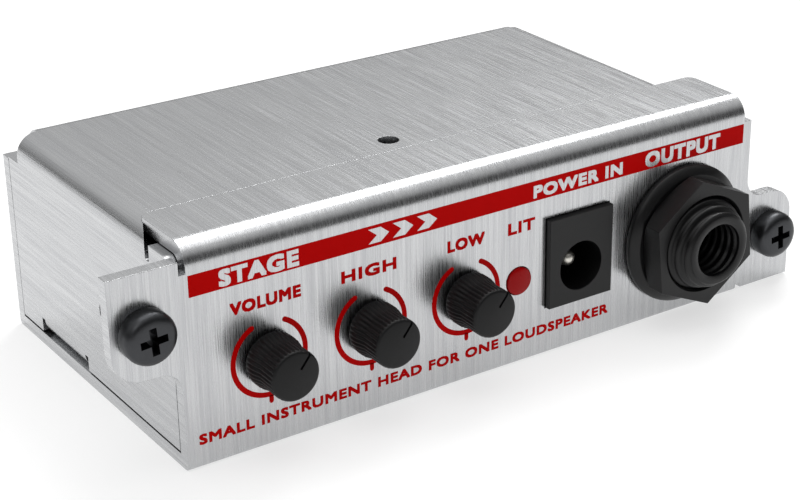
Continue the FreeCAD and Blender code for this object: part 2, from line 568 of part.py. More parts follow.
def power_led():
    """Lamp through the panel: domed nose, body and rim behind the sheet."""
    r = LED_D / 2
    at = V(LED_X, FRONT, ROW_Z)
    body = rod(r, LED_L, at - Y * (LED_PROUD - 0.25), Y)
    dome_r = (r * r + 0.25 * 0.25) / 0.5
    ball = Part.makeSphere(dome_r, at - Y * (LED_PROUD - dome_r))
    nose = ball.common(rod(r, 0.5, at - Y * LED_PROUD, Y))
    rim = rod(r + 0.4, 0.6, at + Y * (SHEET + 0.6), Y)
    return fuse(body, nose, rim)


def led_leads():
    y0 = FRONT - LED_PROUD + 0.25 + LED_L
    wires = []
    for dx in (-1.27, 1.27):
        foot = BOARD_TOP + BUTT_GAP
        wires.append(prism_x([(y0, ROW_Z - 0.25, 0), (y0 + 1.5, ROW_Z - 0.25, 0), (y0 + 1.5, foot, 0),
                              (y0 + 2.0, foot, 0), (y0 + 2.0, ROW_Z + 0.25, 0), (y0, ROW_Z + 0.25, 0)],
                             LED_X + dx - 0.25, LED_X + dx + 0.25))
    return Part.makeCompound(wires)


# ---------------------------------------------------------------- parts on the board
def amp_chip():
    """Power amplifier in a tabbed power package, standing against its heat spreader."""
    y0, z0 = FRONT + AMP_YF, BOARD_TOP + AMP_LIFT
    half = AMP_W / 2
    body = prism_y([(AMP_X - half, z0, 0.3), (AMP_X + half, z0, 0.3), (AMP_X + half, z0 + AMP_H, 0.3),
                    (AMP_X - half, z0 + AMP_H, 0.3)], y0, y0 + AMP_T)
    return body.cut(rod(SMALL_SCREW_D / 2 + SCREW_CLEAR, AMP_T, V(AMP_X, y0, AMP_SCREW_Z), Y))


def amp_leads():
    y0 = FRONT + AMP_YF + AMP_T / 2
    pins = [box(AMP_X + i * 1.7 - LEAD / 2, AMP_X + i * 1.7 + LEAD / 2, y0 - LEAD / 2, y0 + LEAD / 2,
                BOARD_TOP + BUTT_GAP, BOARD_TOP + AMP_LIFT) for i in range(-2, 3)]
    return Part.makeCompound(pins)


def heat_spreader():
    """Folded aluminium plate on the board that carries the chip's heat."""
    y0 = FRONT + AMP_YF + AMP_T + BUTT_GAP
    z0 = BOARD_TOP + BUTT_GAP
    t, foot, top = SPREADER_T, z0 + SPREADER_T, z0 + SPREADER_H
    plate = prism_x([(y0, z0, 0), (y0 + SPREADER_FOOT, z0, 0), (y0 + SPREADER_FOOT, foot, 0),
                     (y0 + t, foot, 0.4), (y0 + t, top, 0.5), (y0, top, 0.5)],
                    AMP_X - SPREADER_W / 2 - 1.0, AMP_X + SPREADER_W / 2 - 1.0)
    return plate.cut(rod(SMALL_SCREW_D / 2 + SHAFT_FIT, t, V(AMP_X, y0, AMP_SCREW_Z), Y))


def amp_screw():
    return pan_screw(V(AMP_X, FRONT + AMP_YF - BUTT_GAP, AMP_SCREW_Z), -Y, SMALL_HEAD_D, SMALL_HEAD_H,
                     SMALL_SCREW_D, AMP_T + SPREADER_T + 1.0, RECESS_ARM * 0.7, RECESS_W * 0.7)


def electrolytic_capacitors():
    """Electrolytic cans with their grooved sleeves."""
    cans = []
    for x, yf, r, h in CANS:
        cans.append(turned([(0, 0), (r - 0.3, 0), (r, 0.3), (r, 1.2), (r - 0.35, 1.6), (r, 2.0),
                            (r, h - 0.5), (r - 0.5, h), (r - 1.2, h), (r - 1.4, h - 0.25), (0, h - 0.25)],
                           V(x, FRONT + yf, BOARD_TOP + SEAT), Z))
    return Part.makeCompound(cans)


def film_capacitors():
    z0, z1 = BOARD_TOP + SEAT, BOARD_TOP + SEAT + FILM_H
    x0, x1 = FILM_X - FILM_L / 2, FILM_X + FILM_L / 2
    blocks = []
    for i in range(3):
        y = FRONT + FILM_YF + i * FILM_PITCH
        blocks.append(prism_y([(x0, z0, 0.5), (x1, z0, 0.5), (x1, z1, 0.5), (x0, z1, 0.5)],
                              y - FILM_T / 2, y + FILM_T / 2))
    return Part.makeCompound(blocks)


def signal_chips():
    """Dual in-line chips with their legs."""
    chips = []
    z0 = BOARD_TOP + 0.6
    for x, yf in CHIPS:
        y = FRONT + yf
        body = box(x - CHIP_L / 2, x + CHIP_L / 2, y - CHIP_W / 2, y + CHIP_W / 2, z0, z0 + CHIP_H)
        body = body.cut(rod(0.8, 0.6, V(x - CHIP_L / 2, y, z0 + CHIP_H - 0.5), Z))
        legs = [box(x + i * CHIP_PITCH - 0.35, x + i * CHIP_PITCH + 0.35,
                    y + s * (CHIP_W / 2 + 0.35) - 0.4, y + s * (CHIP_W / 2 + 0.35) + 0.4,
                    BOARD_TOP + BUTT_GAP, z0 + CHIP_H / 2) for i in (-1.5, -0.5, 0.5, 1.5) for s in (-1, 1)]
        chips.append(fuse(body, *legs))
    return Part.makeCompound(chips)


def resistors():
    """Small axial resistors in a row, each with its two bent leads."""
    items = []
    y, z = FRONT + RESISTOR_YF, BOARD_TOP + RESISTOR_R + 0.3
    foot, half, r = BOARD_TOP + BUTT_GAP, RESISTOR_L / 2, RESISTOR_R
    for x in RESISTORS_X:
        body = turned([(0, -half), (r * 0.85, -half), (r, 0.4 - half), (r, 1.1 - half),
                       (r * 0.8, 1.4 - half), (r * 0.8, half - 1.4), (r, half - 1.1),
                       (r, half - 0.4), (r * 0.85, half), (0, half)], V(x, y, z), Y)
        leads = [prism_x([(y + s * (half - 0.3), z - 0.25, 0), (y + s * (half + 0.7), z - 0.25, 0),
                          (y + s * (half + 0.7), foot, 0), (y + s * (half + 1.2), foot, 0),
                          (y + s * (half + 1.2), z + 0.25, 0), (y + s * (half - 0.3), z + 0.25, 0)],
                         x - 0.25, x + 0.25) for s in (-1, 1)]
        items.append(fuse(body, *leads))
    return Part.makeCompound(items)


def supply_choke():
    """Drum-core choke, its winding between two flanges."""
    r, h = CHOKE_R, CHOKE_H
    return turned([(0, 0), (r, 0), (r, 1.1), (r - 1.1, 1.3), (r - 1.1, h - 1.3), (r, h - 1.1),
                   (r, h), (0, h)], V(CHOKE_X, FRONT + CHOKE_YF, BOARD_TOP + SEAT), Z)


def trimmer_body():
    """Square trimmer, open at the top for its rotor."""
    x, y, z0, half = VENT_X, FRONT + VENT_Y, BOARD_TOP + SEAT, TRIM_W / 2
    body = box(x - half, x + half, y - half, y + half, z0, z0 + TRIM_H)
    return body.cut(rod(ROTOR_D / 2 + ROTOR_FIT, TRIM_H, V(x, y, z0 + ROTOR_SEAT - ROTOR_GAP), Z))


def trimmer_rotor():
    """Rotor with a screwdriver slot under the access hole."""
    x, y, z0 = VENT_X, FRONT + VENT_Y, BOARD_TOP + SEAT + ROTOR_SEAT
    r, h = ROTOR_D / 2, TRIM_H - ROTOR_SEAT + 0.3
    disc = turned([(0, 0), (r, 0), (r, h - 0.5), (r - 0.45, h), (0, h)], V(x, y, z0), Z)
    return disc.cut(box(x - r * 0.7, x + r * 0.7, y - 0.35, y + 0.35, z0 + h - 1.1, z0 + h + 0.1))


# ---------------------------------------------------------------- write every piece
def build():
    nodes = {
        "chassis": chassis(), "top_cover": top_cover(), "cover_screws": cover_screws(),
        "cover_nuts": cover_nuts(), "ear_screws": ear_screws(), "circuit_board": circuit_board(),
        "board_standoffs": board_standoffs(), "board_screws": board_screws(),
        "pot_terminals": pot_terminals(), "power_led": power_led(), "led_leads": led_leads(),
        "dc_socket_housing": dc_housing(), "dc_centre_pin": dc_pin(), "dc_sleeve_spring": dc_spring(),
        "amp_chip": amp_chip(), "amp_chip_leads": amp_leads(), "heat_spreader": heat_spreader(),
        "amp_chip_screw": amp_screw(), "electrolytic_capacitors": electrolytic_capacitors(),
        "film_capacitors": film_capacitors(), "signal_chips": signal_chips(), "resistors": resistors(),
        "supply_choke": supply_choke(), "trimmer_body": trimmer_body(), "trimmer_rotor": trimmer_rotor(),
    }
    for name, x in KNOBS.items():
        nodes[name + "_knob"] = knob(x)
        nodes[name + "_shaft"] = pot_shaft(x)
        nodes[name + "_pot_body"] = pot_body(x)
    for name, x, z, face, inner, out in (("output", OUT_X, ROW_Z, FRONT, PANEL_BACK, -Y),
                                         ("input", IN_X, IN_Z, REAR, REAR_FACE, Y)):
        nodes[name + "_jack_body"] = jack_body(x, z, face, inner, out)
        nodes[name + "_jack_washer"] = jack_washer(x, z, face, out)
        nodes[name + "_jack_nut"] = jack_nut(x, z, face, out)
        nodes[name + "_tip_contact"] = tip_contact(x, z, inner, out)
        nodes[name + "_sleeve_contact"] = sleeve_contact(x, z, inner, out)
    return nodes


os.makedirs("parts", exist_ok=True)
for old in os.listdir("parts"):
    os.remove(os.path.join("parts", old))
for node, shape in build().items():
    if not shape.isValid() or not shape.Solids:
        raise RuntimeError("bad solid: " + node)
    shape.exportStep(os.path.join("parts", node + ".step"))
    print(node, len(shape.Solids), "solid(s),", round(shape.Volume, 2), "mm3")
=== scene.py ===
import json
import math

import bmesh
import bpy
from bpy.props import FloatProperty, FloatVectorProperty, IntProperty, PointerProperty, StringProperty
from bpy.types import Operator, Panel, PropertyGroup
from mathutils import Matrix, Vector


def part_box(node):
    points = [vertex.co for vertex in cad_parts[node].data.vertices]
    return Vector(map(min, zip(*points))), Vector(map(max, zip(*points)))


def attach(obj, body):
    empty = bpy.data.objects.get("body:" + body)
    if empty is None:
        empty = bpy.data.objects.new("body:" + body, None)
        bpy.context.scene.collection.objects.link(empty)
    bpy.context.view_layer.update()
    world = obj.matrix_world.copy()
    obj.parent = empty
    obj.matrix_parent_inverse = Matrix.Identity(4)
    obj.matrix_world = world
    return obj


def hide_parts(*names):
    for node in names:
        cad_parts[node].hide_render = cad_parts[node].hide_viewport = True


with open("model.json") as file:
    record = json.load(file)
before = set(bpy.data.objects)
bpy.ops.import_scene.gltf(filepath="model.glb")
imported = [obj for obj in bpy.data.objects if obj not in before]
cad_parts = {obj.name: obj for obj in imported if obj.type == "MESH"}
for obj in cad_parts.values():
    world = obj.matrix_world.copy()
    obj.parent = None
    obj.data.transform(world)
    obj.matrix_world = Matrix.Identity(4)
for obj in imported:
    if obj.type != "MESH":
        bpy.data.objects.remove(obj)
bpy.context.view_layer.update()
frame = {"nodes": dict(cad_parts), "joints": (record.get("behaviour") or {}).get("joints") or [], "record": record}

bl_info = {
    "name": "Folded-sheet guitar amplifier head",
    "version": (1, 0, 0),
    "blender": (4, 5, 0),
    "location": "View3D > Sidebar > Amp Head",
    "description": "Dresses the amplifier head's case, controls, sockets and panel print",
    "category": "Object",
}

MM = 0.001
CASE = "case"
PANEL_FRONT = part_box("chassis")[0].y          # face of the front panel
REAR_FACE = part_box("chassis")[1].y            # face of the rear panel
CASE_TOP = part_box("chassis")[1].z
PANEL_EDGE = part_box("top_cover")[0].x         # left edge of the panel, without its ear
KNOB_AXES = {j["child"]: Vector(j["pos_m"]) for j in frame["joints"] if j["name"] != "trim_turn"}

# turned and lathed shapes, in mm and steps
SCREW_STEPS = 48
BUSH_STEPS = 96
STEPS_PER_FLUTE = 6
EAR_HEAD_D, EAR_HEAD_H = 6.0, 2.5                # ear screw's pan head
EAR_SHANK_D, EAR_SHANK_L, EAR_PITCH = 3.0, 8.0, 0.5
EAR_RECESS_ARM, EAR_RECESS_W = 3.2, 0.87         # cross recess, tip to tip and across one arm
EAR_RECESS_TURN = math.radians(-5)
BARREL_SHARE = 0.905                             # knob's barrel over its skirt
BUSH_ROOT_R, BUSH_NOSE_R, BUSH_BORE_R = 5.95, 4.75, 3.25
BUSH_PLAIN = 4.2                                 # unthreaded length under the nut
BUSH_SINK = 0.4                                  # how far the nose starts ahead of the panel's face

# panel print, in mm on the panel: up from the underside, and from the middle to the right
STRIP_FOOT, STRIP_TOP = 20.37, 22.88
STRIP_INSET_L, STRIP_INSET_R = 1.35, 1.3
NAMES_FOOT, NAMES_TOP = 16.9, 18.4
LINE_FOOT, LINE_TOP = 2.8, 4.1
CONTROL_NAMES = {"level": ("VOLUME", -34.0, -25.3), "presence": ("HIGH", -20.2, -13.0),
                 "resonance": ("LOW", -6.1, -0.9)}
RING_OPENING = math.radians(27)                  # half of the gap at the ring's top
RING_STEPS = 72
TICK_REACH = 1.15                                # ring's mean radius to the tick's foot
BOLD_SHIFTS = ((2, 2), (2, 1), (2, 0), (1, 0), (0, 0), (0, 1), (0, 2), (1, 2))


# ------------------------------------------------------------------ sizes and colours a user may change
def size_mm(label, millimetres, about):
    return FloatProperty(name=label, description=about, default=millimetres * MM, unit="LENGTH", precision=5)


def hex_colour(label, value, about):
    return StringProperty(name=label, description=about, default=value)


class AmpSizes(PropertyGroup):
    edge_break: size_mm("Edge break", 0.05, "Rounding of the sheet's cut edges")
    mould_edge: size_mm("Moulded edge", 0.12, "Rounding of the moulded plastic edges")
    print_film: size_mm("Print thickness", 0.012, "How far the printed ink stands off the panel")
    streak_width: size_mm("Brush line width", 0.17, "Width of one brushed line, coarser than real to show")
    streak_length: size_mm("Brush line length", 12.0, "Length of one brushed line")
    flute_depth: size_mm("Flute depth", 0.16, "Depth of the knob's flutes")
    flutes: IntProperty(name="Flutes", description="Flutes round each knob", default=36, min=8)
    pointer_width: size_mm("Pointer width", 0.3, "Width of the line engraved in the knob's face")
    pointer_turn: FloatProperty(name="Pointer angle", description="Clockwise from straight up",
                                default=math.radians(39), subtype="ANGLE")
    thread_pitch: size_mm("Bush thread pitch", 1.15, "Pitch of the jack bush's moulded thread")
    thread_depth: size_mm("Bush thread depth", 0.5, "Depth of the jack bush's moulded thread")
    ring_radius: size_mm("Dial ring radius", 4.48, "Mean radius of the printed ring round a knob")
    ring_stroke: size_mm("Dial ring stroke", 0.62, "Line width of the printed ring")


class AmpColours(PropertyGroup):
    aluminium_dark: hex_colour("Aluminium, dark lines", "#B5B6B8", "Darker brushed lines")
    aluminium_light: hex_colour("Aluminium, light lines", "#C6C7C8", "Lighter brushed lines")
    ink_red: hex_colour("Red ink", "#B80000", "Panel print")
    plastic_black: hex_colour("Black plastic", "#0B0B0C", "Knobs, jacks and socket")
    screw_black: hex_colour("Blackened steel", "#434446", "Ear screws")
    lamp_red: hex_colour("Lamp", "#9A0003", "Lamp lens")


def sizes():
    return bpy.context.scene.amp_sizes


def colours():
    return bpy.context.scene.amp_colours


# ------------------------------------------------------------------ nodes and materials
def linear(text):
    """sRGB hex text to a linear RGBA colour."""
    channels = [int(text[i:i + 2], 16) / 255 for i in (1, 3, 5)]
    return tuple(c / 12.92 if c <= 0.04045 else ((c + 0.055) / 1.055) ** 2.4 for c in channels) + (1.0,)


def add(tree, kind, inputs=None, **settings):
    """One node with its settings; an input given as another node's output is linked."""
    made = tree.nodes.new(kind)
    for key, value in settings.items():
        setattr(made, key, value)
    for key, value in (inputs or {}).items():
        if isinstance(value, bpy.types.NodeSocket):
            tree.links.new(value, made.inputs[key])
        else:
            made.inputs[key].default_value = value
    return made


def start_material(name):
    material = bpy.data.materials.new(name)
    material.use_nodes = True
    material.node_tree.nodes.clear()
    return material, material.node_tree


def close_material(material, tree, shader):
    add(tree, "ShaderNodeOutputMaterial", {"Surface": shader.outputs[0]})
    return material


def brushed_aluminium():
    """Aluminium sheet, belt-brushed flat and then folded: fine parallel lines that run up the front panel,
    over the fold and back along the top, and fore and aft on the side walls. They break reflections into
    long vertical streaks. Real lines are near 0.05 mm; they are drawn wider so that they show."""
    s, c = sizes(), colours()
    material, tree = start_material("brushed_aluminium_sheet")
    place = add(tree, "ShaderNodeTexCoord")
    at = add(tree, "ShaderNodeSeparateXYZ", {0: place.outputs["Object"]})
    facing = add(tree, "ShaderNodeSeparateXYZ", {0: place.outputs["Normal"]})
    below_top = add(tree, "ShaderNodeMath", {0: at.outputs["Z"], 1: CASE_TOP}, operation="SUBTRACT")
    down_side = add(tree, "ShaderNodeMath", {0: below_top.outputs[0], 1: facing.outputs["X"]},
                    operation="MULTIPLY")
    across = add(tree, "ShaderNodeMath", {0: at.outputs["X"], 1: down_side.outputs[0]}, operation="SUBTRACT")
    frontal = add(tree, "ShaderNodeMath", {0: facing.outputs["Y"]}, operation="ABSOLUTE")
    along = add(tree, "ShaderNodeMix", {0: frontal.outputs[0], 2: at.outputs["Y"], 3: at.outputs["Z"]})

    def lines(width, length, detail, seed):
        u = add(tree, "ShaderNodeMath", {0: across.outputs[0], 1: 1 / width, 2: seed}, operation="MULTIPLY_ADD")
        v = add(tree, "ShaderNodeMath", {0: along.outputs[0], 1: 1 / length}, operation="MULTIPLY")
        uv = add(tree, "ShaderNodeCombineXYZ", {0: u.outputs[0], 1: v.outputs[0]})
        return add(tree, "ShaderNodeTexNoise", {"Vector": uv.outputs[0], "Scale": 1.0, "Detail": detail,
                                                "Roughness": 0.6}, noise_dimensions="2D").outputs["Fac"]
    fine = lines(s.streak_width, s.streak_length, 2.0, 3.0)
    broad = lines(s.streak_width * 4.5, s.streak_length * 2.2, 2.0, 41.0)
    both = add(tree, "ShaderNodeMix", {0: 0.5, 2: fine, 3: broad})
    shade = add(tree, "ShaderNodeMapRange", {0: both.outputs[0], 1: 0.34, 2: 0.66})
    tint = add(tree, "ShaderNodeMix", {0: shade.outputs[0], 6: linear(c.aluminium_dark),
                                       7: linear(c.aluminium_light)}, data_type="RGBA")
    rough = add(tree, "ShaderNodeMapRange", {0: fine, 1: 0.3, 2: 0.7, 3: 0.34, 4: 0.20})
    bump = add(tree, "ShaderNodeBump", {"Height": both.outputs[0], "Strength": 0.5, "Distance": 0.035 * MM})
    shader = add(tree, "ShaderNodeBsdfPrincipled", {
        "Base Color": tint.outputs[2], "Metallic": 1.0, "Roughness": rough.outputs[0],
        "Normal": bump.outputs[0]})
    return close_material(material, tree, shader)


def moulded(name, base, roughness, grain_mm, grain_depth_mm, coat=0.0, variation=0.12, metallic=0.0, specular=0.5):
    """A surface from a mould or a plating bath: one colour that wanders slightly, with a fine skin texture."""
    material, tree = start_material(name)
    place = add(tree, "ShaderNodeTexCoord")
    grain = add(tree, "ShaderNodeTexNoise", {"Vector": place.outputs["Object"], "Scale": 1 / (grain_mm * MM),
                                             "Detail": 3.0, "Roughness": 0.55})
    cloud = add(tree, "ShaderNodeTexNoise", {"Vector": place.outputs["Object"], "Scale": 1 / (2.6 * MM),
                                             "Detail": 2.0})
    r, g, b, _ = linear(base)
    low, high = 1 - variation, 1 + variation
    tint = add(tree, "ShaderNodeMix", {0: cloud.outputs["Fac"], 6: (r * low, g * low, b * low, 1),
                                       7: (min(1, r * high), min(1, g * high), min(1, b * high), 1)},
               data_type="RGBA")
    rough = add(tree, "ShaderNodeMapRange", {0: grain.outputs["Fac"], 1: 0.3, 2: 0.7,
                                             3: roughness * 0.88, 4: min(1.0, roughness * 1.12)})
    bump = add(tree, "ShaderNodeBump", {"Height": grain.outputs["Fac"], "Strength": 0.5,
                                        "Distance": grain_depth_mm * MM})
    shader = add(tree, "ShaderNodeBsdfPrincipled", {
        "Base Color": tint.outputs[2], "Metallic": metallic, "Roughness": rough.outputs[0],
        "Specular IOR Level": specular, "Coat Weight": coat, "Coat Roughness": 0.12, "Normal": bump.outputs[0]})
    return close_material(material, tree, shader)


# Every finish: name, sRGB colour, roughness, grain size in mm, grain depth in mm, then what differs
FINISHES = {
    # spark-textured ABS: soft grey sheen, no mirror
    "knob_plastic": lambda: moulded("moulded_abs_knob", colours().plastic_black, 0.46, 0.14, 0.006, specular=0.25),
    # glass-filled nylon: slightly uneven satin black
    "jack_plastic": lambda: moulded("glass_filled_nylon", colours().plastic_black, 0.38, 0.2, 0.006, specular=0.3),
    # unfilled nylon: a shade glossier, with coarser flow marks
    "nut_plastic": lambda: moulded("moulded_nylon_nut", colours().plastic_black, 0.36, 0.3, 0.008, specular=0.3),
    # black-oxide steel: dark metal with a soft highlight
    "black_screw": lambda: moulded("black_oxide_steel", colours().screw_black, 0.36, 0.25, 0.003, metallic=1.0),
    # bright zinc: cool grey with a slightly broken reflection
    "steel": lambda: moulded("zinc_plated_steel", "#C4C6C8", 0.3, 0.3, 0.002, metallic=1.0),
    # as rolled: pale and satin, with no brushed lines
    "plain_aluminium": lambda: moulded("mill_aluminium", "#CFD0D1", 0.38, 0.3, 0.003, metallic=1.0),
    # solder-dipped leads: warm silver, soft highlights
    "tinned": lambda: moulded("tinned_copper", "#CDCDC8", 0.32, 0.3, 0.002, metallic=1.0),
    # warm bright metal: the pin glints in the dark socket
    "nickel": lambda: moulded("nickel_plated_brass", "#D9D6CE", 0.36, 0.5, 0.001, metallic=1.0),
    # rolled spring strip: pinkish gold, fairly sharp reflections
    "spring_bronze": lambda: moulded("phosphor_bronze", "#C9A26B", 0.26, 0.3, 0.002, metallic=1.0),
    # turned brass: the yellow glint under the access hole
    "trimmer_brass": lambda: moulded("machined_brass", "#CDA75A", 0.28, 0.3, 0.002, metallic=1.0),
    # diffusing epoxy: even red with a wet-looking skin
    "lamp_red": lambda: moulded("tinted_epoxy_lens", colours().lamp_red, 0.3, 0.6, 0.001, variation=0.04,
                                specular=0.12),
    # pressed phenolic: dull dark green, no sheen
    "pot_case": lambda: moulded("phenolic_case", "#2E4A3E", 0.6, 0.2, 0.004),
    # lacquered board: even green under a thin clear gloss
    "board_green": lambda: moulded("solder_mask", "#12502A", 0.3, 0.5, 0.003, coat=0.3),
    # transfer-moulded epoxy: near-black and matt
    "chip_epoxy": lambda: moulded("moulding_epoxy", "#1F1F20", 0.62, 0.12, 0.005),
    # shrunk sleeve: dark blue, tight and glossy
    "capacitor_sleeve": lambda: moulded("shrink_sleeve", "#1A2440", 0.3, 0.6, 0.002, coat=0.3),
    # dipped resin: red with a rounded wet gloss
    "film_cap": lambda: moulded("dipped_film", "#A6231B", 0.28, 0.8, 0.004, coat=0.3),
    # baked lacquer: pale blue, half gloss
    "resistor_body": lambda: moulded("resistor_lacquer", "#8FB4C4", 0.35, 0.5, 0.003, coat=0.2),
    # pressed powder: charcoal, rough and dry
    "choke_core": lambda: moulded("pressed_ferrite", "#2B2B2D", 0.7, 0.15, 0.006),
    # moulded thermoset: plain blue, satin
    "trimmer_blue": lambda: moulded("diallyl_phthalate", "#1C4C9C", 0.4, 0.3, 0.003),
    # screen-printed ink: flat colour with a dry edge-to-edge film
    "ink_red": lambda: moulded("screen_ink_red", colours().ink_red, 0.45, 0.25, 0.003, variation=0.05,
                               specular=0.03),
    # folded sheet: long fine lines that stretch highlights
    "brushed_aluminium": brushed_aluminium,
}
MADE = {}


def finish(slot):
    """The finish of a record slot or a print ink, made once."""
    if slot not in MADE:
        MADE[slot] = FINISHES[slot]()
    return MADE[slot]


# ------------------------------------------------------------------ meshes
def piece(name, mesh):
    """An object with the mesh, at the origin and in the scene."""
    obj = bpy.data.objects.new(name, mesh)
    bpy.context.scene.collection.objects.link(obj)
    return obj


def settle(obj):
    """Replaces an object's live modifiers by the mesh they make."""
    graph = bpy.context.evaluated_depsgraph_get()
    made = bpy.data.meshes.new_from_object(obj.evaluated_get(graph), preserve_all_data_layers=True,
                                           depsgraph=graph)
    obj.modifiers.clear()
    obj.data = made
    return obj


def dress(obj, body, slot, *nodes, record_slot=None):
    """Gives a finished piece its material and body, in place of the plain nodes it stands for."""
    obj.data.materials.clear()
    obj.data.materials.append(finish(slot))
    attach(obj, body)
    if nodes:
        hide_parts(*nodes)
    return obj


def node_copy(node):
    """A merged copy of a node's mesh, with its flat faces whole again."""
    bm = bmesh.new()
    bm.from_mesh(frame["nodes"][node].data)
    bmesh.ops.remove_doubles(bm, verts=bm.verts, dist=0.001 * MM)
    bmesh.ops.dissolve_limit(bm, angle_limit=math.radians(0.8), verts=bm.verts, edges=bm.edges)
    return bm


def edged(name, bm, width, segments=2):
    """A solid with its sharp edges rounded and its flat faces shaded flat."""
    mesh = bpy.data.meshes.new(name)
    bm.to_mesh(mesh)
    bm.free()
    mesh.shade_smooth()
    obj = piece(name, mesh)
    bevel = obj.modifiers.new("edges", "BEVEL")
    bevel.width = width
    bevel.segments = segments
    bevel.limit_method = "ANGLE"
    bevel.angle_limit = math.radians(28)
    bevel.use_clamp_overlap = True
    weigh = obj.modifiers.new("weigh", "WEIGHTED_NORMAL")
    weigh.keep_sharp = False
    return settle(obj)


def lathe(name, profile, steps, centre, out, closed=False):
    """Surface turned about the Y axis through centre: (radius, distance out, mark) in mm.
    out is -1 towards the front and 1 towards the rear; mark goes to the vertex attribute of that name."""
    bm = bmesh.new()
    mark = bm.verts.layers.float.new("mark")
    rings = []
    for radius, distance, weight in profile:
        y = centre.y + out * distance * MM
        count = steps if radius > 0 else 1
        ring = []
        for i in range(count):
            a = 2 * math.pi * i / steps
            vertex = bm.verts.new((centre.x + radius * MM * math.sin(a), y, centre.z + radius * MM * math.cos(a)))
            vertex[mark] = weight
            ring.append(vertex)
        rings.append(ring)
    pairs = list(zip(rings, rings[1:])) + ([(rings[-1], rings[0])] if closed else [])
    for a, b in pairs:
        for i in range(steps):
            j = (i + 1) % steps
            if len(a) == 1:
                bm.faces.new((a[0], b[i], b[j]))
            elif len(b) == 1:
                bm.faces.new((a[i], b[0], a[j]))
            else:
                bm.faces.new((a[i], b[i], b[j], a[j]))
    bmesh.ops.recalc_face_normals(bm, faces=bm.faces)
    mesh = bpy.data.meshes.new(name)
    bm.to_mesh(mesh)
    bm.free()
    mesh.shade_smooth()
    mesh.set_sharp_from_angle(angle=math.radians(40))
    return piece(name, mesh)


def steps_between(start, end, count):
    """Points along a straight stretch of a profile, without its first point."""
    return [tuple(p + (q - p) * i / count for p, q in zip(start, end)) for i in range(1, count + 1)]


def box_mesh(low, high, turn=0.0, about=Vector(), shrink=1.0):
    """Box between two corners, narrowed by shrink towards +Y, turned about Y."""
    bm = bmesh.new()
    bmesh.ops.create_cube(bm, size=1.0)
    middle, span = (low + high) / 2, high - low
    for v in bm.verts:
        k = shrink if v.co.y > 0 else 1.0
        v.co = Vector((v.co.x * span.x * k, v.co.y * span.y, v.co.z * span.z * k)) + middle
    bmesh.ops.rotate(bm, verts=bm.verts, cent=about, matrix=Matrix.Rotation(turn, 3, "Y"))
    mesh = bpy.data.meshes.new("cutter")
    bm.to_mesh(mesh)
    bm.free()
    return mesh


def cut(obj, *meshes):
    """Cuts shapes out of a solid."""
    cutters = [piece("cutter", mesh) for mesh in meshes]
    for cutter in cutters:
        boolean = obj.modifiers.new("cut", "BOOLEAN")
        boolean.operation = "DIFFERENCE"
        boolean.solver = "EXACT"
        boolean.object = cutter
    settle(obj)
    for cutter in cutters:
        bpy.data.objects.remove(cutter)
    return obj


# ------------------------------------------------------------------ geometry node trees
def start_tree(name, inputs):
    """A geometry node group with the named inputs, and the outputs of its input node."""
    tree = bpy.data.node_groups.new(name, "GeometryNodeTree")
    tree.interface.new_socket("Geometry", in_out="INPUT", socket_type="NodeSocketGeometry")
    for label, kind in inputs.items():
        tree.interface.new_socket(label, in_out="INPUT", socket_type="NodeSocket" + kind)
    tree.interface.new_socket("Geometry", in_out="OUTPUT", socket_type="NodeSocketGeometry")
    return tree, tree.nodes.new("NodeGroupInput").outputs


def end_tree(tree, geometry, material):
    """Closes a group: real geometry, dressed in one material."""
    whole = add(tree, "GeometryNodeRealizeInstances", {0: geometry})
    dressed = add(tree, "GeometryNodeSetMaterial", {0: whole.outputs[0], "Material": material})
    tree.links.new(dressed.outputs[0], tree.nodes.new("NodeGroupOutput").inputs[0])
    return tree


def grow(obj, tree, values):
    """Runs a tree on an object with its inputs set, and keeps the mesh it makes."""
    modifier = obj.modifiers.new(tree.name, "NODES")
    modifier.node_group = tree
    for item in tree.interface.items_tree:
        if item.in_out == "INPUT" and item.name in values:
            modifier[item.identifier] = values[item.name]
    return settle(obj)


def around_axis(tree, inputs):
    """Angle about the centre's Y axis, distance along it and outward direction of each point."""
    here = add(tree, "GeometryNodeInputPosition")
    offset = add(tree, "ShaderNodeVectorMath", {0: here.outputs[0], 1: inputs["Centre"]}, operation="SUBTRACT")
    parts = add(tree, "ShaderNodeSeparateXYZ", {0: offset.outputs[0]})
    flat = add(tree, "ShaderNodeCombineXYZ", {"X": parts.outputs["X"], "Z": parts.outputs["Z"]})
    outward = add(tree, "ShaderNodeVectorMath", {0: flat.outputs[0]}, operation="NORMALIZE")
    angle = add(tree, "ShaderNodeMath", {0: parts.outputs["X"], 1: parts.outputs["Z"]}, operation="ARCTAN2")
    return angle.outputs[0], parts.outputs["Y"], outward.outputs[0]


def push_in(tree, inputs, outward, share):
    """Moves marked points towards the axis by the depth times their mark and share."""
    mark = add(tree, "GeometryNodeInputNamedAttribute", {"Name": "mark"}, data_type="FLOAT")
    deep = add(tree, "ShaderNodeMath", {0: inputs["Depth"], 1: mark.outputs[0]}, operation="MULTIPLY")
    amount = add(tree, "ShaderNodeMath", {0: deep.outputs[0], 1: share}, operation="MULTIPLY")
    inward = add(tree, "ShaderNodeMath", {0: amount.outputs[0], 1: -1.0}, operation="MULTIPLY")
    move = add(tree, "ShaderNodeVectorMath", {0: outward, "Scale": inward.outputs[0]}, operation="SCALE")
    return add(tree, "GeometryNodeSetPosition", {"Geometry": inputs["Geometry"], "Offset": move.outputs[0]})


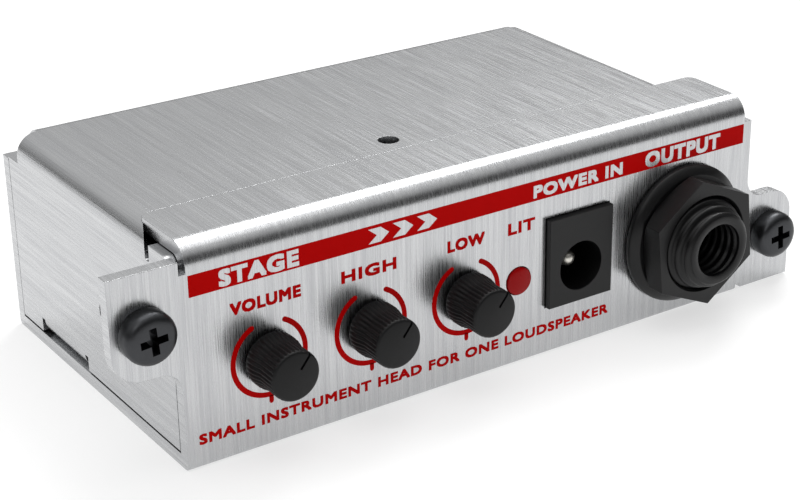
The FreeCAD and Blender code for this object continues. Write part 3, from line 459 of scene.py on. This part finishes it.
def flute_tree():
    """Round-bottomed flutes along a turned barrel."""
    tree, inputs = start_tree("barrel_flutes", {"Centre": "Vector", "Flutes": "Float", "Depth": "Float",
                                                "Material": "Material"})
    angle, _, outward = around_axis(tree, inputs)
    turns = add(tree, "ShaderNodeMath", {0: angle, 1: inputs["Flutes"]}, operation="MULTIPLY")
    wave = add(tree, "ShaderNodeMath", {0: turns.outputs[0]}, operation="COSINE")
    share = add(tree, "ShaderNodeMapRange", {0: wave.outputs[0], 1: -0.55, 2: 1.0})
    moved = push_in(tree, inputs, outward, share.outputs[0])
    return end_tree(tree, moved.outputs[0], inputs["Material"])


def thread_tree():
    """Helical thread round a turned barrel; a negative mark cuts it into the wall of a bore."""
    tree, inputs = start_tree("helical_thread", {"Centre": "Vector", "Pitch": "Float", "Depth": "Float",
                                                 "Material": "Material"})
    angle, distance, outward = around_axis(tree, inputs)
    turn = add(tree, "ShaderNodeMath", {0: angle, 1: 1 / (2 * math.pi)}, operation="MULTIPLY")
    rise = add(tree, "ShaderNodeMath", {0: distance, 1: inputs["Pitch"]}, operation="DIVIDE")
    phase = add(tree, "ShaderNodeMath", {0: rise.outputs[0], 1: turn.outputs[0]}, operation="ADD")
    ramp = add(tree, "ShaderNodeMath", {0: phase.outputs[0], 1: 0.5}, operation="PINGPONG")
    share = add(tree, "ShaderNodeMapRange", {0: ramp.outputs[0], 1: 0.12, 2: 0.38},
                interpolation_type="SMOOTHSTEP")
    moved = push_in(tree, inputs, outward, share.outputs[0])
    return end_tree(tree, moved.outputs[0], inputs["Material"])


def copies_tree():
    """Copies of one piece on every point."""
    tree, inputs = start_tree("copies_on_points", {"Piece": "Object", "Material": "Material"})
    source = add(tree, "GeometryNodeObjectInfo", {"Object": inputs["Piece"]})
    dots = add(tree, "GeometryNodeMeshToPoints", {"Mesh": inputs["Geometry"]})
    placed = add(tree, "GeometryNodeInstanceOnPoints", {"Points": dots.outputs[0],
                                                        "Instance": source.outputs["Geometry"]})
    return end_tree(tree, placed.outputs[0], inputs["Material"])


def copies(name, source, places, slot):
    """One mesh of a piece, made at the origin, repeated at several places."""
    mesh = bpy.data.meshes.new(name)
    mesh.from_pydata([tuple(p) for p in places], [], [])
    obj = grow(piece(name, mesh), copies_tree(), {"Piece": source, "Material": finish(slot)})
    bpy.data.objects.remove(source)
    return obj


# ------------------------------------------------------------------ case
def make_case():
    """Both folded sheets, with their cut edges broken."""
    for node, name in (("chassis", "chassis_sheet"), ("top_cover", "cover_sheet")):
        dress(edged(name, node_copy(node), sizes().edge_break), CASE, "brushed_aluminium", node)


# ------------------------------------------------------------------ screws
def pan_head(head_d, head_h, shank_d, shank_l, arm, arm_w, pitch, slot):
    """Cross-recess pan-head screw at the origin: head towards -Y, threaded shank towards +Y."""
    r, s = head_d / 2, shank_d / 2
    profile = [(0, head_h, 0), (r * 0.55, head_h * 0.995, 0), (r * 0.75, head_h * 0.96, 0),
               (r * 0.88, head_h * 0.88, 0), (r * 0.96, head_h * 0.76, 0), (r, head_h * 0.6, 0),
               (r, head_h * 0.12, 0), (r * 0.97, 0.02, 0), (s, 0.02, 0), (s, -0.4, 0)]
    profile += steps_between((s, -0.4, 1), (s, 0.6 - shank_l, 1), int(shank_l / pitch * 6))
    profile += [(s * 0.85, 0.1 - shank_l, 0.3), (s * 0.6, -shank_l, 0), (0, -shank_l, 0)]
    screw = lathe("screw", profile, SCREW_STEPS, Vector(), -1)
    grow(screw, thread_tree(), {"Centre": Vector(), "Pitch": pitch * MM, "Depth": pitch * 0.5 * MM,
                                "Material": finish(slot)})
    low = Vector((-arm / 2, -(head_h + 0.2), -arm_w / 2)) * MM
    high = Vector((arm / 2, -head_h * 0.42, arm_w / 2)) * MM
    return cut(screw, box_mesh(low, high, shrink=0.8), box_mesh(low, high, math.radians(90), shrink=0.8))


def make_ear_screws():
    """Both ear screws, copies of one: the left one high, the right one low."""
    low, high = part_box("ear_screws")
    half = EAR_HEAD_D / 2 * MM
    places = [(half - high.x, PANEL_FRONT, high.z - half), (high.x - half, PANEL_FRONT, low.z + half)]
    source = pan_head(EAR_HEAD_D, EAR_HEAD_H, EAR_SHANK_D, EAR_SHANK_L, EAR_RECESS_ARM, EAR_RECESS_W, EAR_PITCH,
                      "black_screw")
    source.data.transform(Matrix.Rotation(EAR_RECESS_TURN, 4, "Y"))
    dress(copies("ear_screw_pair", source, places, "black_screw"), CASE, "black_screw", "ear_screws")


# ------------------------------------------------------------------ knobs
def make_knobs():
    """Fluted push-on knobs, each with the line engraved in its face."""
    s = sizes()
    flutes = flute_tree()
    for body, axis in KNOB_AXES.items():
        node = body.replace("_control", "_knob")
        low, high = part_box(node)
        reach = (PANEL_FRONT - low.y) / MM
        gap = (PANEL_FRONT - high.y) / MM
        skirt = (high.x - low.x) / 2 / MM
        barrel = skirt * BARREL_SHARE
        profile = [(0, reach - 1.2, 0), (1.55, reach - 1.2, 0), (1.55, gap, 0), (skirt * 0.9, gap, 0),
                   (skirt * 0.98, gap + 0.12, 0), (skirt, gap + 0.3, 0.4)]
        profile += steps_between((skirt, gap + 0.3, 1), (skirt, gap + 1.3, 1), 2)
        profile += steps_between((skirt, gap + 1.3, 1), (barrel, gap + 2.6, 1), 4)
        profile += steps_between((barrel, gap + 2.6, 1), (barrel * 1.01, reach - 0.55, 1), 4)
        profile += [(barrel * 1.005, reach - 0.35, 0.5), (barrel * 0.985, reach - 0.2, 0),
                    (barrel * 0.94, reach - 0.07, 0), (barrel * 0.88, reach, 0), (0, reach, 0)]
        centre = Vector((axis.x, PANEL_FRONT, axis.z))
        knob = lathe(node + "_moulding", profile, s.flutes * STEPS_PER_FLUTE, centre, -1)
        grow(knob, flutes, {"Centre": centre, "Flutes": float(s.flutes), "Depth": s.flute_depth,
                            "Material": finish("knob_plastic")})
        half = s.pointer_width / 2
        front = PANEL_FRONT - reach * MM
        low = Vector((axis.x - half, front - 0.3 * MM, axis.z + 0.9 * MM))
        high = Vector((axis.x + half, front + 0.3 * MM, axis.z + 1.1 * skirt * MM))
        cut(knob, box_mesh(low, high, s.pointer_turn, centre))
        dress(knob, body, "knob_plastic", node)


# ------------------------------------------------------------------ jacks
def make_jacks():
    """Both 6.35 mm jacks: threaded nose, hexagonal nut, flange washer and moulded body."""
    for name, face, out in (("output", PANEL_FRONT, -1), ("input", REAR_FACE, 1)):
        make_jack(name, face, out)


def make_jack(name, face, out):
    """One jack on the panel at face: its threaded nose is turned, and the CAD body behind it is kept."""
    s = sizes()
    body_node = name + "_jack_body"
    washer_low, washer_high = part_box(name + "_jack_washer")
    centre = Vector(((washer_low.x + washer_high.x) / 2, face, (washer_low.z + washer_high.z) / 2))
    low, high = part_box(body_node)
    reach = (face - low.y if out < 0 else high.y - face) / MM
    root, nose, bore = BUSH_ROOT_R, BUSH_NOSE_R, BUSH_BORE_R
    profile = [(root, BUSH_SINK, 0), (root, BUSH_PLAIN, 0)]
    profile += steps_between((root, BUSH_PLAIN, 1), (nose, reach - 0.25, 1), 34)
    profile += [(nose - 0.28, reach - 0.1, 0), (nose - 0.45, reach, 0), (bore + 0.45, reach, 0),
                (bore + 0.12, reach - 0.12, 0), (bore, reach - 0.4, 0)]
    profile += steps_between((bore, reach - 0.4, -0.6), (bore, BUSH_SINK, -0.6), 40)
    bush = lathe(name + "_jack_nose", profile, BUSH_STEPS, centre, out, closed=True)
    grow(bush, thread_tree(), {"Centre": centre, "Pitch": s.thread_pitch, "Depth": s.thread_depth,
                               "Material": finish("jack_plastic")})
    dress(bush, CASE, "jack_plastic", body_node)

    bm = node_copy(body_node)
    plane = Vector((0, face + out * BUSH_SINK * MM, 0))
    everything = list(bm.verts) + list(bm.edges) + list(bm.faces)
    edges = bmesh.ops.bisect_plane(bm, geom=everything, plane_co=plane, plane_no=(0, out, 0),
                                   clear_outer=True)["geom_cut"]
    rim = [e for e in edges if isinstance(e, bmesh.types.BMEdge)]
    bmesh.ops.triangle_fill(bm, edges=rim, use_beauty=True)
    bmesh.ops.recalc_face_normals(bm, faces=bm.faces)
    dress(edged(name + "_jack_case", bm, s.mould_edge), CASE, "jack_plastic")
    for part in ("nut", "washer"):
        node = f"{name}_jack_{part}"
        dress(edged(node + "_moulding", node_copy(node), s.mould_edge), CASE, "nut_plastic", node)


# ------------------------------------------------------------------ power socket and lamp
def make_socket_and_lamp():
    """The power socket's housing and the lamp's lens."""
    for node, name, slot in (("dc_socket_housing", "socket_moulding", "jack_plastic"),
                             ("power_led", "lamp_lens", "lamp_red")):
        dress(edged(name, node_copy(node), sizes().mould_edge * 0.6), CASE, slot, node)


# ------------------------------------------------------------------ panel print
def thicken(bm, thick):
    """Gives a flat outline, drawn in X and Z on the panel's face, the thickness of its ink."""
    grown = bmesh.ops.extrude_face_region(bm, geom=list(bm.faces))["geom"]
    for v in bm.verts:
        v.co.y = PANEL_FRONT
    for v in (g for g in grown if isinstance(g, bmesh.types.BMVert)):
        v.co.y -= thick
    bmesh.ops.recalc_face_normals(bm, faces=bm.faces)


def lay(name, bm, slot):
    """Ink or bare metal on the panel, riding on the case."""
    mesh = bpy.data.meshes.new(name)
    bm.to_mesh(mesh)
    bm.free()
    record = "lamp_red" if slot == "ink_red" else slot
    return dress(piece(name, mesh), CASE, slot, record_slot=record)


def film(name, bm, slot, over=0):
    """An outline laid on the panel, on top of so many other films."""
    thicken(bm, sizes().print_film * (1 + over))
    return lay(name, bm, slot)


def polygon(points):
    """Flat outline from (x, z) points in mm."""
    bm = bmesh.new()
    bm.faces.new([bm.verts.new((x * MM, 0, z * MM)) for x, z in points])
    return bm


def lettering(name, words, x0, x1, z0, z1, slot, weight, over=0):
    """A line of bold capitals that fills a box given in mm on the panel. Copies shifted by the
    weight each way, each a hair thicker than the last, thicken the strokes evenly."""
    curve = bpy.data.curves.new(name, "FONT")
    curve.body = words
    curve.resolution_u = 3
    curve.space_character = 1.12
    holder = piece("type", curve)
    graph = bpy.context.evaluated_depsgraph_get()
    mesh = bpy.data.meshes.new_from_object(holder.evaluated_get(graph))
    bpy.data.objects.remove(holder)
    xs = [v.co.x for v in mesh.vertices]
    ys = [v.co.y for v in mesh.vertices]
    wide, tall = x1 - x0 - 2 * weight, z1 - z0 - 2 * weight
    bm = bmesh.new()
    for k, (right, up) in enumerate(BOLD_SHIFTS):
        single = bmesh.new()
        single.from_mesh(mesh)
        bmesh.ops.remove_doubles(single, verts=single.verts, dist=1e-5)
        for v in single.verts:
            u = (v.co.x - min(xs)) / (max(xs) - min(xs))
            w = (v.co.y - min(ys)) / (max(ys) - min(ys))
            v.co = Vector(((x0 + weight * right + u * wide) * MM, 0, (z0 + weight * up + w * tall) * MM))
        thicken(single, sizes().print_film * (1 + over + 0.06 * k))
        part = bpy.data.meshes.new("stroke")
        single.to_mesh(part)
        single.free()
        bm.from_mesh(part)
        bpy.data.meshes.remove(part)
    return lay(name, bm, slot)


def dial_ring(name, axis):
    """Printed ring round a knob, open at the top, with round ends and a tick at its middle."""
    s = sizes()
    mean, half = s.ring_radius / MM, s.ring_stroke / 2 / MM
    x, z = axis.x / MM, axis.z / MM

    def at(radius, angle):
        return x + radius * math.sin(angle), z + radius * math.cos(angle)
    sweep = 2 * (math.pi - RING_OPENING)
    angles = [RING_OPENING + sweep * i / RING_STEPS for i in range(RING_STEPS + 1)]
    outer = [at(mean + half, a) for a in angles]
    inner = [at(mean - half, a) for a in reversed(angles)]

    def cap(angle, way):
        middle = at(mean, angle)
        turns = [angle + way * math.pi * k / 8 for k in range(1, 8)]
        return [(middle[0] + half * math.sin(t), middle[1] + half * math.cos(t)) for t in turns]
    points = outer + cap(angles[-1], 1) + inner + list(reversed(cap(angles[0], -1)))
    film(name, polygon(points), "ink_red")
    tick = half * 0.9
    low, high = z - mean - TICK_REACH, z - mean - half * 0.6
    film(name + "_tick", polygon([(x - tick, high), (x - tick, low + tick), (x - tick * 0.6, low + tick * 0.2),
                                  (x, low), (x + tick * 0.6, low + tick * 0.2), (x + tick, low + tick),
                                  (x + tick, high)]), "ink_red")


def make_print():
    """Red strip with its bare lettering, control names, dial rings and the line along the foot."""
    edge = PANEL_EDGE / MM
    left, right = edge + STRIP_INSET_L, -edge - STRIP_INSET_R
    film("name_strip", polygon([(left, STRIP_FOOT), (right, STRIP_FOOT), (right, STRIP_TOP), (left, STRIP_TOP)]),
         "ink_red")
    bare = "brushed_aluminium"
    lettering("strip_word_left", "STAGE", -35.1, -25.4, 20.6, 22.6, bare, 0.14, over=1)
    for i in range(3):
        x = -16.6 + 3.2 * i
        film(f"strip_chevron_{i}", polygon([(x, 20.75), (x + 1.1, 21.62), (x, 22.5), (x + 1.6, 22.5),
                                            (x + 2.7, 21.62), (x + 1.6, 20.75)]), bare, over=1)
    lettering("strip_word_power", "POWER IN", 6.0, 19.3, 20.7, 22.3, bare, 0.11, over=1)
    lettering("strip_word_output", "OUTPUT", 22.8, 34.8, 20.6, 22.6, bare, 0.14, over=1)
    for key, (word, x0, x1) in CONTROL_NAMES.items():
        lettering(key + "_word", word, x0, x1, NAMES_FOOT, NAMES_TOP, "ink_red", 0.1)
        dial_ring(key + "_ring", KNOB_AXES[key + "_control"])
    lettering("lamp_word", "LIT", 2.4, 6.3, NAMES_FOOT, NAMES_TOP, "ink_red", 0.1)
    lettering("foot_line", "SMALL INSTRUMENT HEAD FOR ONE LOUDSPEAKER", -38.5, 17.7, LINE_FOOT, LINE_TOP,
              "ink_red", 0.08)


# ------------------------------------------------------------------ what shows only through the openings
def make_inside():
    """The remaining nodes keep their shapes and get their finishes."""
    slots = {part["node"]: part["material_slot"] for part in frame["record"]["subparts"]}
    for node, obj in frame["nodes"].items():
        if obj.hide_render:
            continue
        for slot in obj.material_slots:
            slot.material = finish(slots[node])


# ------------------------------------------------------------------ stage
FLOOR_HALF = 3.0                                 # metres
SKY_STOPS = ((0.24, 0.09), (0.42, 0.38), (0.62, 0.68))
SOFTBOXES = (("back_softbox", (0.3, 0.22, 0.475), 0.27, 2.0),      # name, place, size in m, power in W
             ("top_softbox", (0.0, 0.0, 0.6), 0.5, 1.2),
             ("front_softbox", (-0.55, -0.5, 0.6), 0.4, 0.7))
CAMERA_PLACE = (-0.11887, -0.18537, 0.10644)
CAMERA_TURN = (math.radians(65.813), 0, math.radians(-35.345))
CAMERA_LENS, CAMERA_SHIFT_X = 86.61, -0.0857


def make_stage():
    """Pale floor, plain soft light and the camera."""
    scene = bpy.context.scene
    scene.view_settings.view_transform = "Standard"
    make_floor()
    make_world(scene)
    make_lights(scene)
    make_camera(scene)


def make_floor():
    bm = bmesh.new()
    bmesh.ops.create_grid(bm, x_segments=2, y_segments=2, size=FLOOR_HALF)
    mesh = bpy.data.meshes.new("floor")
    bm.to_mesh(mesh)
    bm.free()
    floor = piece("floor", mesh)
    material, tree = start_material("backlit_white_acrylic")
    shader = add(tree, "ShaderNodeBsdfPrincipled", {
        "Base Color": (0.42, 0.42, 0.42, 1), "Roughness": 0.9, "Specular IOR Level": 0.0,
        "Emission Color": (1, 1, 1, 1), "Emission Strength": 0.62})
    floor.data.materials.append(close_material(material, tree, shader))


def make_world(scene):
    """Grey dome, dark below and behind the camera, bright towards the back and top."""
    world = bpy.data.worlds.new("studio")
    scene.world = world
    world.use_nodes = True
    tree = world.node_tree
    tree.nodes.clear()
    place = add(tree, "ShaderNodeTexCoord")
    ray = add(tree, "ShaderNodeSeparateXYZ", {0: place.outputs["Generated"]})
    height = add(tree, "ShaderNodeMath", {0: ray.outputs["Y"], 1: 0.25, 2: ray.outputs["Z"]},
                 operation="MULTIPLY_ADD")
    ramp = add(tree, "ShaderNodeValToRGB", {0: height.outputs[0]})
    stops = ramp.color_ramp.elements
    stops[0].position, stops[0].color = 0.0, (0.07, 0.07, 0.07, 1)
    stops[1].position, stops[1].color = 1.0, (0.8, 0.8, 0.8, 1)
    for position, level in SKY_STOPS:
        stop = stops.new(position)
        stop.color = (level, level, level, 1)
    light = add(tree, "ShaderNodeBackground", {"Color": ramp.outputs[0], "Strength": 1.0})
    add(tree, "ShaderNodeOutputWorld", {"Surface": light.outputs[0]})


def make_lights(scene):
    for name, where, size, power in SOFTBOXES:
        lamp = bpy.data.lights.new(name, "AREA")
        lamp.size = size
        lamp.energy = power
        holder = bpy.data.objects.new(name, lamp)
        scene.collection.objects.link(holder)
        holder.location = where
        holder.rotation_euler = (-Vector(where)).to_track_quat("-Z", "Y").to_euler()


def make_camera(scene):
    lens = bpy.data.cameras.new("camera")
    lens.sensor_width = 36.0
    lens.lens = CAMERA_LENS
    lens.shift_x = CAMERA_SHIFT_X
    lens.clip_start = 0.005
    camera = bpy.data.objects.new("camera", lens)
    scene.collection.objects.link(camera)
    camera.location = CAMERA_PLACE
    camera.rotation_euler = CAMERA_TURN
    scene.camera = camera


# ------------------------------------------------------------------ operators, panel and running order
class AMPHEAD_OT_case(Operator):
    """Both folded sheets, with their cut edges broken"""
    bl_idname = "amphead.case"
    bl_label = "Make case sheets"

    def execute(self, context):
        make_case()
        return {"FINISHED"}


class AMPHEAD_OT_ear_screws(Operator):
    """The two pan-head screws in the ears"""
    bl_idname = "amphead.ear_screws"
    bl_label = "Make ear screws"

    def execute(self, context):
        make_ear_screws()
        return {"FINISHED"}


class AMPHEAD_OT_knobs(Operator):
    """The three fluted knobs with their pointers"""
    bl_idname = "amphead.knobs"
    bl_label = "Make knobs"

    def execute(self, context):
        make_knobs()
        return {"FINISHED"}


class AMPHEAD_OT_jacks(Operator):
    """Both 6.35 mm jacks with nut and washer"""
    bl_idname = "amphead.jacks"
    bl_label = "Make jacks"

    def execute(self, context):
        make_jacks()
        return {"FINISHED"}


class AMPHEAD_OT_socket(Operator):
    """The power socket's housing and the lamp"""
    bl_idname = "amphead.socket"
    bl_label = "Make socket and lamp"

    def execute(self, context):
        make_socket_and_lamp()
        return {"FINISHED"}


class AMPHEAD_OT_panel_print(Operator):
    """The red strip, words, dial rings and foot line"""
    bl_idname = "amphead.panel_print"
    bl_label = "Make panel print"

    def execute(self, context):
        make_print()
        return {"FINISHED"}


class AMPHEAD_OT_inside(Operator):
    """Finishes on the pieces inside the case"""
    bl_idname = "amphead.inside"
    bl_label = "Finish inner pieces"

    def execute(self, context):
        make_inside()
        return {"FINISHED"}


class AMPHEAD_OT_stage(Operator):
    """Floor, light and camera"""
    bl_idname = "amphead.stage"
    bl_label = "Make stage"

    def execute(self, context):
        make_stage()
        return {"FINISHED"}


class AMPHEAD_PT_sidebar(Panel):
    bl_label = "Amp Head"
    bl_idname = "AMPHEAD_PT_sidebar"
    bl_space_type = "VIEW_3D"
    bl_region_type = "UI"
    bl_category = "Amp Head"

    def draw(self, context):
        for group in (context.scene.amp_sizes, context.scene.amp_colours):
            for key in group.bl_rna.properties.keys():
                if key not in ("rna_type", "name"):
                    self.layout.prop(group, key)
        for made in STEPS:
            self.layout.operator(made.bl_idname)


STEPS = [AMPHEAD_OT_case, AMPHEAD_OT_ear_screws, AMPHEAD_OT_knobs, AMPHEAD_OT_jacks,
         AMPHEAD_OT_socket, AMPHEAD_OT_panel_print, AMPHEAD_OT_inside, AMPHEAD_OT_stage]
CLASSES = [AmpSizes, AmpColours, AMPHEAD_PT_sidebar] + STEPS


def register():
    for made in CLASSES:
        bpy.utils.register_class(made)
    bpy.types.Scene.amp_sizes = PointerProperty(type=AmpSizes)
    bpy.types.Scene.amp_colours = PointerProperty(type=AmpColours)


def unregister():
    del bpy.types.Scene.amp_colours
    del bpy.types.Scene.amp_sizes
    for made in reversed(CLASSES):
        bpy.utils.unregister_class(made)


def main():
    register()
    bpy.ops.amphead.case()
    bpy.ops.amphead.ear_screws()
    bpy.ops.amphead.knobs()
    bpy.ops.amphead.jacks()
    bpy.ops.amphead.socket()
    bpy.ops.amphead.panel_print()
    bpy.ops.amphead.inside()
    bpy.ops.amphead.stage()


if __name__ == "__main__":
    main()
